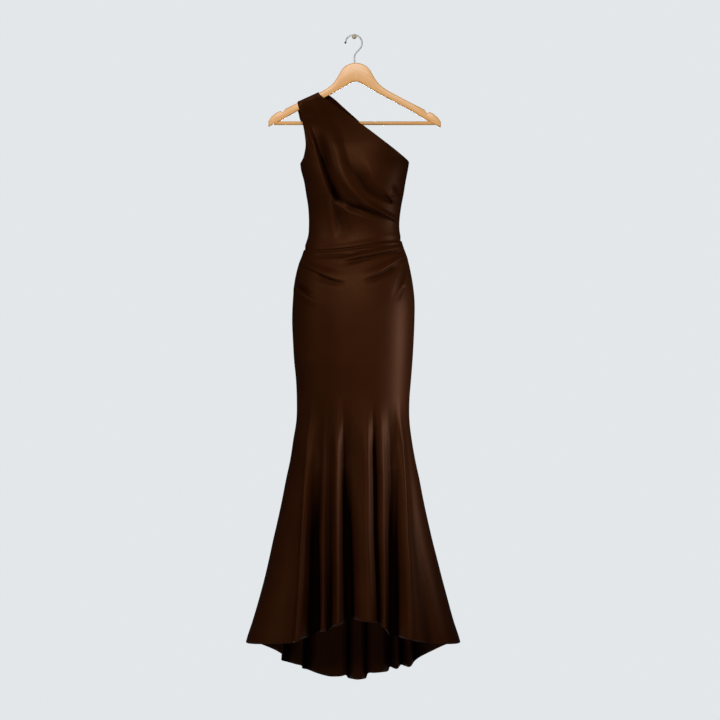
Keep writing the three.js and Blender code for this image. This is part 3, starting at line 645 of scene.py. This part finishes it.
def satin_material():
    """Heavy polyester satin: long smooth floats on its face give broad soft highlights along each fold.
    Shade is painted into its hollows: an attribute from the folds darkens its colour and its shine there,
    nearly to black in the deepest. Its threads, 0.25 mm apart, are drawn 1.2 mm apart."""
    material, tree = new_material("dark_brown_satin")
    uv = node(tree, "ShaderNodeUVMap", {"uv_map": "cloth"}).outputs["UV"]
    thread = node(tree, "ShaderNodeMapping", {"Scale": (THREADS, SLUBS, 1.0)}, {"Vector": uv})
    slub = node(tree, "ShaderNodeTexNoise", {"Scale": 1.0, "Detail": 3.0, "Roughness": 0.6},
                {"Vector": thread.outputs["Vector"]})
    broad = node(tree, "ShaderNodeTexNoise", {"Scale": 9.0, "Detail": 2.0}, {"Vector": uv})
    face = ramp(tree, broad.outputs["Fac"], [(0.3, SATIN_DEEP), (0.7, SATIN_FACE)])
    # Painted shade: the folds' hollows, read from an attribute, darken the colour and scale down the shine
    depth = node(tree, "ShaderNodeAttribute", {"attribute_name": "painted_fold_shade"}).outputs["Fac"]
    kept_after_painted_shade = node(tree, "ShaderNodeMapRange", {"To Min": 1.0, "To Max": KEPT_UNDER_PAINTED_SHADE},
                {"Value": depth}).outputs["Result"]
    colour = node(tree, "ShaderNodeVectorMath", {"operation": "SCALE"},
                  {0: face, "Scale": kept_after_painted_shade}).outputs["Vector"]
    shine = node(tree, "ShaderNodeMath", {"operation": "MULTIPLY", 1: 0.2}, {0: kept_after_painted_shade}).outputs[0]
    gloss = node(tree, "ShaderNodeMapRange",
                 {"From Min": 0.3, "From Max": 0.7, "To Min": 0.46, "To Max": 0.54},
                 {"Value": slub.outputs["Fac"]})
    bump = node(tree, "ShaderNodeBump", {"Strength": 0.12, "Distance": 0.0002},
                {"Height": slub.outputs["Fac"]})
    shader = node(tree, "ShaderNodeBsdfPrincipled",
                  {"Metallic": 0.0, "IOR": 1.5, "Specular Tint": linear(SATIN_SHINE)},
                  {"Base Color": colour, "Specular IOR Level": shine,
                   "Roughness": gloss.outputs["Result"], "Normal": bump.outputs["Normal"]})
    node(tree, "ShaderNodeOutputMaterial", links={"Surface": shader.outputs["BSDF"]})
    return material


def beech_material():
    """Lacquered beech: pale straight grain that follows each arm, under a thin dull lacquer."""
    material, tree = new_material("lacquered_beech")
    place = node(tree, "ShaderNodeTexCoord").outputs["Object"]
    parts = node(tree, "ShaderNodeSeparateXYZ", links={"Vector": place}).outputs
    from_joint = node(tree, "ShaderNodeMath", {"operation": "SUBTRACT", 1: JOINT_X * MM}, {0: parts["X"]})
    along = node(tree, "ShaderNodeMath", {"operation": "ABSOLUTE"}, {0: from_joint.outputs[0]}).outputs[0]
    sloped = node(tree, "ShaderNodeMath", {"operation": "MULTIPLY_ADD", 1: ARM_SLOPE},
                  {0: along, 2: parts["Z"]}).outputs[0]
    board = node(tree, "ShaderNodeCombineXYZ", links={"X": parts["X"], "Y": parts["Y"], "Z": sloped})
    grain = node(tree, "ShaderNodeMapping", {"Scale": GRAIN}, {"Vector": board.outputs["Vector"]})
    streak = node(tree, "ShaderNodeTexNoise", {"Scale": 3.0, "Detail": 5.0, "Roughness": 0.55},
                  {"Vector": grain.outputs["Vector"]})
    colour = ramp(tree, streak.outputs["Fac"], [(0.25, "#D8964A"), (0.5, "#E1A457"), (0.75, "#E9B26A")])
    bump = node(tree, "ShaderNodeBump", {"Strength": 0.15, "Distance": 0.0003},
                {"Height": streak.outputs["Fac"]})
    shader = node(tree, "ShaderNodeBsdfPrincipled",
                  {"Metallic": 0.0, "IOR": 1.5, "Roughness": 0.42,
                   "Coat Weight": 0.2, "Coat Roughness": 0.25},
                  {"Base Color": colour, "Normal": bump.outputs["Normal"]})
    node(tree, "ShaderNodeOutputMaterial", links={"Surface": shader.outputs["BSDF"]})
    return material


def metal_material(name, light, dark, low, high):
    """Drawn or turned metal: bright, with a fine mottle of wear that breaks its highlights."""
    material, tree = new_material(name)
    place = node(tree, "ShaderNodeTexCoord").outputs["Object"]
    worn = node(tree, "ShaderNodeTexNoise", {"Scale": 900.0, "Detail": 3.0}, {"Vector": place})
    colour = ramp(tree, worn.outputs["Fac"], [(0.35, dark), (0.65, light)])
    gloss = node(tree, "ShaderNodeMapRange", {"To Min": low, "To Max": high}, {"Value": worn.outputs["Fac"]})
    shader = node(tree, "ShaderNodeBsdfPrincipled", {"Metallic": 1.0},
                  {"Base Color": colour, "Roughness": gloss.outputs["Result"]})
    node(tree, "ShaderNodeOutputMaterial", links={"Surface": shader.outputs["BSDF"]})
    return material


def rubber_material():
    """Dipped rubber: nearly black and dull, with a faint mottle."""
    material, tree = new_material("dipped_rubber")
    place = node(tree, "ShaderNodeTexCoord").outputs["Object"]
    mottle = node(tree, "ShaderNodeTexNoise", {"Scale": 1500.0}, {"Vector": place})
    colour = ramp(tree, mottle.outputs["Fac"], [(0.3, "#1B1917"), (0.7, "#2E2A27")])
    shader = node(tree, "ShaderNodeBsdfPrincipled", {"Roughness": 0.6, "IOR": 1.5}, {"Base Color": colour})
    node(tree, "ShaderNodeOutputMaterial", links={"Surface": shader.outputs["BSDF"]})
    return material


satin = satin_material()
beech = beech_material()
steel = metal_material("nickel_plated_steel", "#C2C2C3", "#AFB0B2", 0.42, 0.55)
brass = metal_material("aged_brass", "#9C9274", "#837A5E", 0.5, 0.62)
rubber = rubber_material()


# The gown

def bodice(name, side, columns, folds):
    """One side of the bodice, from the shoulder seam to its lower edge under the skirt's top."""
    turn = np.linspace(0, 1, columns + 1)
    strap = bodice_strap(side, np.arange(0, len(STRAP) - 1, STRAP_ROW), turn)
    body = bodice_body(side, np.linspace(UNDERARM, SKIRT_TOP_LEFT - LAP, BODY_ROWS), turn)
    points = np.concatenate((strap, body))
    even = points
    for _ in range(UNDERARM_SPREADS):
        even = spread(even, 0)
    from_joint = np.abs(np.arange(len(points)) - len(strap))[:, None]
    from_seam = np.minimum(np.arange(columns + 1), columns - np.arange(columns + 1))[None, :]
    part = (1 - smooth(from_joint, *UNDERARM_ROWS)) * smooth(from_seam, *UNDERARM_COLUMNS)
    points = points + (even - points) * part[..., None]
    x, y, z = np.moveaxis(points, -1, 0)
    calm = np.clip(np.abs(y) / BODICE_FOLDS_GROW, 0, 1)
    calm = calm * smooth(z - SKIRT_TOP_LEFT, LAP, LAP + LAP_CALM)
    points[..., 1] = y + side * relief(folds, x, z) * calm
    points[..., 1] = side * np.maximum(side * points[..., 1], SEAM / 2)
    out = directions(points, side)
    out[0] = (0, 0, 1)
    body_rows = slice(len(strap), None)
    out[body_rows, 0] = (-1, 0, 0)
    out[body_rows, -1] = (1, 0, 0)
    # Painted shade of the bodice's folds, weaker than on the skirt
    shade = fold_shade(points, side) * BODICE_SHADE
    return cloth_wall(name, points, points - out * CLOTH, side, shade, satin)


def skirt_stations(tuck_row):
    """The heights of the skirt's rows, closer together where its tucks are."""
    tucks = np.arange(SKIRT_TOP_LEFT, TUCKS_END, -tuck_row)
    rest = np.linspace(TUCKS_END, SIDE_HEM, round((TUCKS_END - SIDE_HEM) / SKIRT_ROW))
    return np.concatenate((tucks, rest))


def skirt(side, lines, stations, tucks, hollows):
    """The outer and inner points of one side of the skirt, and the shade painted into its folds."""
    points = skirt_surface(side, lines, stations)
    x, y, z = np.moveaxis(points, -1, 0)
    from_seam = np.abs(y)
    points[..., 1] = y + side * relief(hollows, x, z) * smooth(from_seam, *HOLLOWS_GROW)
    out = directions(points, side)
    out[:, 0] = (-1, 0, 0)
    out[:, -1] = (1, 0, 0)
    tuck = np.maximum(relief(tucks, x, z), 0) * (AT_SEAM + (1 - AT_SEAM) * smooth(from_seam, *TUCKS_GROW))
    row = np.arange(len(points))[:, None]
    roll = ROLL_HEIGHT * np.clip(1 - (row / ROLL_ROWS) ** 2, 0, 1)
    outer = points + out * (tuck + roll)[..., None]
    return outer, points - out * CLOTH, fold_shade(outer, side)


def cut_out(name, made, side, first, last):
    """A piece of cloth from one column to another, drawn back from each seam inside the whole."""
    outer, inner, shade = (grid[:, first:last + 1].copy() for grid in made)
    for layer in (outer, inner):
        if first > 0:
            layer[:, 0, 0] += SEAM / 2
        if last < made[0].shape[1] - 1:
            layer[:, -1, 0] -= SEAM / 2
    return cloth_wall(name, outer, inner, side, shade, satin)


front = skirt(-1, FRONT_FLUTES, skirt_stations(FRONT_TUCK_ROW), {**HIP_TUCKS, **GATHERS}, HIP_HOLLOWS)
back = skirt(1, BACK_FLUTES, skirt_stations(BACK_TUCK_ROW), {}, BACK_HIP_FOLDS)
centre_back = int(BACK_FLUTES[:CENTRE_BACK_LINE, FLUTE["steps"]].sum())
front_end, back_end = (made[0].shape[1] - 1 for made in (front, back))

bodice_front = bodice("bodice_front_satin", -1, FRONT_COLUMNS, BODICE_FOLDS)
bodice_back = bodice("bodice_back_satin", 1, BACK_COLUMNS, BACK_BODICE_FOLDS)
skirt_front = cut_out("skirt_front_satin", front, -1, 0, front_end)
skirt_back_left = cut_out("skirt_back_left_satin", back, 1, 0, centre_back)
skirt_back_right = cut_out("skirt_back_right_satin", back, 1, centre_back, back_end)


# The hanger, hook and peg: primitives that are extruded and shaped, station by station

def edit(piece):
    """Opens a piece alone in edit mode."""
    bpy.ops.object.select_all(action="DESELECT")
    piece.select_set(True)
    bpy.context.view_layer.objects.active = piece
    bpy.ops.object.mode_set(mode="EDIT")


def pick(piece, kind, test):
    """Selects the faces, edges or vertices that pass a test, in edit mode."""
    bpy.ops.mesh.select_mode(type=kind)
    bpy.ops.mesh.select_all(action="DESELECT")
    form = bmesh.from_edit_mesh(piece.data)
    for part in {"FACE": form.faces, "EDGE": form.edges, "VERT": form.verts}[kind]:
        part.select_set(bool(test(part)))
    form.select_flush_mode()
    bmesh.update_edit_mesh(piece.data)


def shift(piece, chosen, place):
    """Moves the vertices that pass a test so that their middle comes to an x and z."""
    pick(piece, "VERT", chosen)
    form = bmesh.from_edit_mesh(piece.data)
    moved = [v.co for v in form.verts if v.select]
    middle = sum(moved, Vector()) / len(moved)
    bpy.ops.transform.translate(value=(place[0] - middle.x, 0, place[1] - middle.z))


def finish_form(piece, angle=40):
    """Leaves edit mode with faces outwards and edges sharp only past an angle."""
    bpy.ops.mesh.select_all(action="SELECT")
    bpy.ops.mesh.normals_make_consistent(inside=False)
    bpy.ops.object.mode_set(mode="OBJECT")
    bpy.ops.object.shade_smooth_by_angle(angle=math.radians(angle))
    return piece


# In metres: positions closer than this are the same, an arm's new end is first drawn this far out, and
# what lies beyond the last is that end
SAME = 1e-6
DRAWN_OUT = 0.5
BEYOND_ARM = 0.4
# Faces whose normals differ more than this in y meet at an edge to be rounded
EDGE_TURN = 0.7
ARM_THICKNESS = 12.4
ARM_EDGE = 2.2
# The left arm is this much longer past the crown's reach, and its end this much higher, as in the photo
LEFT_STRETCH = 1.0375
LEFT_LIFT = 2.4
CROWN_REACH = 60
ARM_LIFT_START = 90
ARM_LIFT_END = 150
# One arm outwards from the joint: its upper and its lower edge, seen from the front
ARM = np.array([
    # row, topX, topZ, underX, underZ
    (0, 0.15, -70.7, 0.15, -118),
    (1, 9, -71.6, 8.5, -120),
    (2, 18, -74.4, 18.4, -125.4),
    (3, 26.5, -78.9, 27, -130.2),
    (4, 33.4, -85, 34.2, -134.4),
    (5, 39.5, -94, 41.4, -138.9),
    (6, 44.8, -103.6, 47, -142.1),
    (7, 50, -112.4, 53, -145.4),
    (8, 56.3, -120.9, 60, -149.3),
    (9, 63.2, -128.4, 69.9, -154.8),
    (10, 80, -140.6, 92, -166.6),
    (11, 99.8, -151.5, 112, -177.3),
    (12, 136, -170.5, 142, -193.3),
    (13, 177, -191.3, 176, -213.6),
    (14, 180.2, -196.6, 179.5, -215.8),
    (15, 183, -200.3, 183, -218),
    (16, 185.8, -199.4, 186, -219.8),
    (17, 189, -196.8, 189, -221.7),
    (18, 200.3, -202.2, 199, -226.9),
    (19, 211.6, -212, 209.5, -232.2),
    (20, 218.6, -222.6, 218.6, -237),
])
ARM_STATIONS = np.concatenate((np.arange(0, 12, 0.34), np.arange(12, 20.01, 1)))


def hanger_arm(name, side, stretch, lift):
    """One arm, sawn from a board and rounded over along its edges."""
    def at(x, z):
        past = max(x - CROWN_REACH, 0)
        raised_z = z + lift * float(smooth(x, ARM_LIFT_START, ARM_LIFT_END))
        return (JOINT_X + side * (x + past * (stretch - 1))) * MM, raised_z * MM

    stations = [[float(column(ARM, key, row)) for key in range(1, 5)] for row in ARM_STATIONS]
    tops = [at(x, z) for x, z, _, _ in stations]
    unders = [at(x, z) for _, _, x, z in stations]
    bpy.ops.mesh.primitive_cube_add(size=1)
    piece = bpy.context.object
    piece.name = name
    edit(piece)
    bpy.ops.transform.resize(value=(1, ARM_THICKNESS * MM, 1))
    corners = [(-side, 1, tops[0]), (-side, -1, unders[0]), (side, 1, tops[1]), (side, -1, unders[1])]
    for x_side, z_side, place in corners:
        shift(piece, lambda v: near(v, [(x_side / 2, z_side / 2)]), place)
    end = {tops[1], unders[1]}
    for top, under in zip(tops[2:], unders[2:]):
        pick(piece, "FACE", lambda f: all(near(v, end) for v in f.verts))
        bpy.ops.mesh.extrude_region_move(TRANSFORM_OT_translate={"value": (side * DRAWN_OUT, 0, 0)})
        new_end = [v.co.z for v in bmesh.from_edit_mesh(piece.data).verts if v.select]
        middle = sum(new_end) / len(new_end)
        shift(piece, lambda v: v.co.x * side > BEYOND_ARM and v.co.z > middle, top)
        shift(piece, lambda v: v.co.x * side > BEYOND_ARM, under)
        end = {top, under}
    joint = (JOINT_X + side) * MM
    pick(piece, "EDGE", lambda e: rounded_over(e) and any(v.co.x * side > joint * side for v in e.verts))
    bpy.ops.mesh.bevel(offset=ARM_EDGE * MM, segments=4, affect="EDGES")
    return finish_form(piece)


def near(vertex, places):
    """True for a vertex at one of the places, each an x and a z."""
    return any(abs(vertex.co.x - x) < SAME and abs(vertex.co.z - z) < SAME for x, z in places)


def rounded_over(edge):
    """True for an edge between the front or back of a board and its narrow side."""
    if len(edge.link_faces) != 2:
        return False
    a, b = (abs(face.normal.y) for face in edge.link_faces)
    return abs(a - b) > EDGE_TURN


def disc(name, centre, rotation, radius, sides):
    """A filled circle in edit mode, from which a rod is extruded."""
    bpy.ops.mesh.primitive_circle_add(vertices=sides, radius=radius * MM, fill_type="NGON",
                                      location=[c * MM for c in centre], rotation=rotation)
    piece = bpy.context.object
    piece.name = name
    bpy.ops.object.transform_apply(location=True, rotation=True, scale=True)
    edit(piece)
    bpy.ops.mesh.select_all(action="SELECT")
    return piece


def drawn_out(centre, direction, profile):
    """Extrudes the selected disc along a straight line, through each distance and radius of a profile."""
    centre = Vector(centre)
    direction = Vector(direction).normalized()
    (last, last_radius), *rest = profile
    for distance, radius in rest:
        bpy.ops.mesh.extrude_region_move(
            TRANSFORM_OT_translate={"value": direction * (distance - last) * MM})
        place = (centre + direction * distance) * MM
        grown = radius / last_radius
        bpy.ops.transform.resize(value=(grown, grown, grown), center_override=place)
        last, last_radius = distance, radius


BAR_Z = -225.6
BAR_RADIUS = 4.7
BAR_HALF_LENGTH = 206


def hanger_bar():
    """The turned dowel, its ends eased."""
    start = (-BAR_HALF_LENGTH, 0, BAR_Z)
    eased = BAR_RADIUS - 0.8
    length = 2 * BAR_HALF_LENGTH
    piece = disc("bar_dowel", start, (0, math.pi / 2, 0), eased, 40)
    drawn_out(start, (1, 0, 0), [(0, eased), (0.5, BAR_RADIUS - 0.15), (1.2, BAR_RADIUS),
                                 (length / 2, BAR_RADIUS), (length - 1.2, BAR_RADIUS),
                                 (length - 0.5, BAR_RADIUS - 0.15), (length, eased)])
    return finish_form(piece)


WIRE_RADIUS = 1.75
HOOK_RADIUS = 19.6
HOOK_CENTRE_X = -1.3
STEM_X = 0.5
STEM_BOTTOM = -88.7
HOOK_BEND = math.radians(-44)
HOOK_TIP = math.radians(170)
HOOK_STEPS = 44
# The wire's middle line up the stem and through its bend
STEM = np.array([
    # row, x, z
    (0, STEM_X, STEM_BOTTOM),
    (1, STEM_X, -76.7),
    (2, STEM_X, -60),
    (3, STEM_X, -53.5),
    (4, 4.2, -45.2),
    (5, 14.06, -34.43),
])


def hook_round(angle):
    """The wire's middle line at an angle round the hook."""
    radius = HOOK_RADIUS + WIRE_RADIUS
    return Vector((HOOK_CENTRE_X + radius * math.cos(angle), 0, -HOOK_RADIUS + radius * math.sin(angle)))


def hanger_hook():
    """The wire hook: a disc run up the stem, through the bend and round."""
    rows = np.concatenate(([0, 1, 2], np.arange(2.5, 5, 0.25)))
    path = [Vector((float(column(STEM, 1, row)), 0, float(column(STEM, 2, row)))) for row in rows]
    path += [hook_round(angle) for angle in np.linspace(HOOK_BEND, HOOK_TIP, HOOK_STEPS + 1)]
    piece = disc("hook_wire", path[0], (0, 0, 0), WIRE_RADIUS, 20)
    steps = [b - a for a, b in zip(path, path[1:])]
    headings = [math.atan2(step.z, step.x) for step in steps]
    turned = math.pi / 2
    for i, step in enumerate(steps):
        bpy.ops.mesh.extrude_region_move(TRANSFORM_OT_translate={"value": step * MM})
        following = headings[min(i + 1, len(steps) - 1)]
        between = (headings[i] + following) / 2
        bpy.ops.transform.rotate(value=between - turned, orient_axis="Y", center_override=path[i + 1] * MM)
        turned = between
    return finish_form(piece)


def hook_tip():
    """The rubber bead dipped on the wire's end, with a short sleeve."""
    end = hook_round(HOOK_TIP)
    out = Vector((-math.sin(HOOK_TIP), 0, math.cos(HOOK_TIP)))
    tilt = math.atan2(out.x, out.z)
    piece = disc("tip_bead", end, (0, tilt, 0), 2.0, 24)
    drawn_out(end, out, [(0, 2.0), (0.6, 2.1), (1.3, 2.42), (2.4, 2.5), (3.6, 2.35), (4.5, 1.85),
                         (5.1, 1.05), (5.3, 0.3)])
    return finish_form(piece, 80)


PEG_RADIUS = 3.6
PEG_HEAD_RADIUS = 6
PEG_FRONT = -8
PEG_LEVEL_END = 8
PEG_SLOPE = 0.125
PEG_BACK = 175
PEG_ROOM = 0.3


def wall_peg():
    """The peg, turned with a low head, level under the hook and then rising to the wall."""
    middle = -PEG_RADIUS - PEG_ROOM
    start = (0, PEG_FRONT, middle)
    bend = (0, PEG_LEVEL_END, middle)
    piece = disc("peg_turned", start, (-math.pi / 2, 0, 0), PEG_HEAD_RADIUS - 1, 32)
    drawn_out(start, (0, 1, 0), [(0, PEG_HEAD_RADIUS - 1), (0.3, PEG_HEAD_RADIUS - 0.35),
                                 (1, PEG_HEAD_RADIUS), (2.5, PEG_HEAD_RADIUS),
                                 (2.9, PEG_HEAD_RADIUS - 0.3), (3, PEG_RADIUS + 0.2), (3.5, PEG_RADIUS),
                                 (PEG_LEVEL_END - PEG_FRONT, PEG_RADIUS)])
    run = (PEG_BACK - PEG_LEVEL_END) * math.hypot(1, PEG_SLOPE)
    drawn_out(bend, (0, 1, PEG_SLOPE), [(0, PEG_RADIUS), (run / 2, PEG_RADIUS), (run, PEG_RADIUS)])
    return finish_form(piece)


# node, piece, slot and material
PIECES = [
    ("bodice_front", bodice_front, "satin", satin),
    ("bodice_back", bodice_back, "satin", satin),
    ("skirt_front", skirt_front, "satin", satin),
    ("skirt_back_left", skirt_back_left, "satin", satin),
    ("skirt_back_right", skirt_back_right, "satin", satin),
    ("hanger_arm_left", hanger_arm("arm_left_wood", -1, LEFT_STRETCH, LEFT_LIFT), "beech", beech),
    ("hanger_arm_right", hanger_arm("arm_right_wood", 1, 1, 0), "beech", beech),
    ("hanger_bar", hanger_bar(), "beech", beech),
    ("hanger_hook", hanger_hook(), "plated_steel", steel),
    ("hook_tip", hook_tip(), "rubber", rubber),
    ("wall_peg", wall_peg(), "brass", brass),
]
for node_name, piece, slot_name, material in PIECES:
    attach(piece, "root")
    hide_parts(node_name)
    piece.data.materials.clear()
    piece.data.materials.append(material)

# Camera, light and backdrop

VIEW_X = 0.0147
VIEW_Z = -0.8346
VIEW_WIDTH = 1.852
CAMERA_AWAY = 7.0
SENSOR = 36.0
WORLD_LIGHT = 0.03
FLOOR_SIZE = 3.4
FLOOR_Z = -2.02

camera_data = bpy.data.cameras.new("camera")
camera_data.sensor_width = SENSOR
camera_data.lens = SENSOR * CAMERA_AWAY / VIEW_WIDTH
camera_data.clip_end = 60
camera = bpy.data.objects.new("camera", camera_data)
camera.location = (VIEW_X, -CAMERA_AWAY, VIEW_Z)
camera.rotation_euler = (math.pi / 2, 0, 0)
bpy.context.collection.objects.link(camera)
bpy.context.scene.camera = camera


def area_light(name, place, target, size, power, beam):
    """A soft light with its width and height in metres, its power in watts and its beam in degrees."""
    data = bpy.data.lights.new(name, "AREA")
    data.shape = "RECTANGLE"
    data.size, data.size_y = size
    data.energy = power
    data.color = LIGHT_COLOUR
    data.spread = math.radians(beam)
    light = bpy.data.objects.new(name, data)
    light.location = place
    aim = Vector(target) - Vector(place)
    light.rotation_euler = aim.to_track_quat("-Z", "Y").to_euler()
    bpy.context.collection.objects.link(light)


LIGHT_COLOUR = (1.0, 0.98, 0.96)
MIDDLE = (0.0, 0.0, -0.85)
area_light("key", (-0.2, -4.4, 1.2), MIDDLE, (1.4, 1.4), 148, 180)
area_light("back", (0.0, 4.6, 0.3), MIDDLE, (0.9, 1.4), 90, 180)
area_light("left_fill", (-3.0, -2.4, 0.3), (0.0, 0.0, -0.5), (0.8, 1.2), 30, 180)
area_light("right_side", (2.4, -0.7, -0.9), (0.1, 0.0, -0.88), (0.5, 0.4), 1.8, 30)

world = bpy.data.worlds.new("studio")
bpy.context.scene.world = world
world.use_nodes = True
air = world.node_tree
air.nodes.clear()
seen = node(air, "ShaderNodeBackground", {"Color": linear(BACKDROP), "Strength": 1.0})
lit = node(air, "ShaderNodeBackground", {"Color": linear(BACKDROP), "Strength": WORLD_LIGHT})
ray = node(air, "ShaderNodeLightPath").outputs["Is Camera Ray"]
mixed = node(air, "ShaderNodeMixShader", links={0: ray, 1: lit.outputs[0], 2: seen.outputs[0]})
node(air, "ShaderNodeOutputWorld", links={"Surface": mixed.outputs[0]})
bpy.context.scene.view_settings.view_transform = "Standard"

bpy.ops.mesh.primitive_plane_add(size=FLOOR_SIZE, location=(0, 0, 0))
floor = bpy.context.object
floor.name = "floor"
bpy.ops.object.mode_set(mode="EDIT")
bpy.ops.transform.translate(value=(0, 0, FLOOR_Z))
bpy.ops.object.mode_set(mode="OBJECT")
pale, pale_tree = new_material("pale_floor")
pale_shader = node(pale_tree, "ShaderNodeBsdfDiffuse", {"Color": linear(BACKDROP)})
node(pale_tree, "ShaderNodeOutputMaterial", links={"Surface": pale_shader.outputs[0]})
floor.data.materials.append(pale)

bpy.context.view_layer.update()
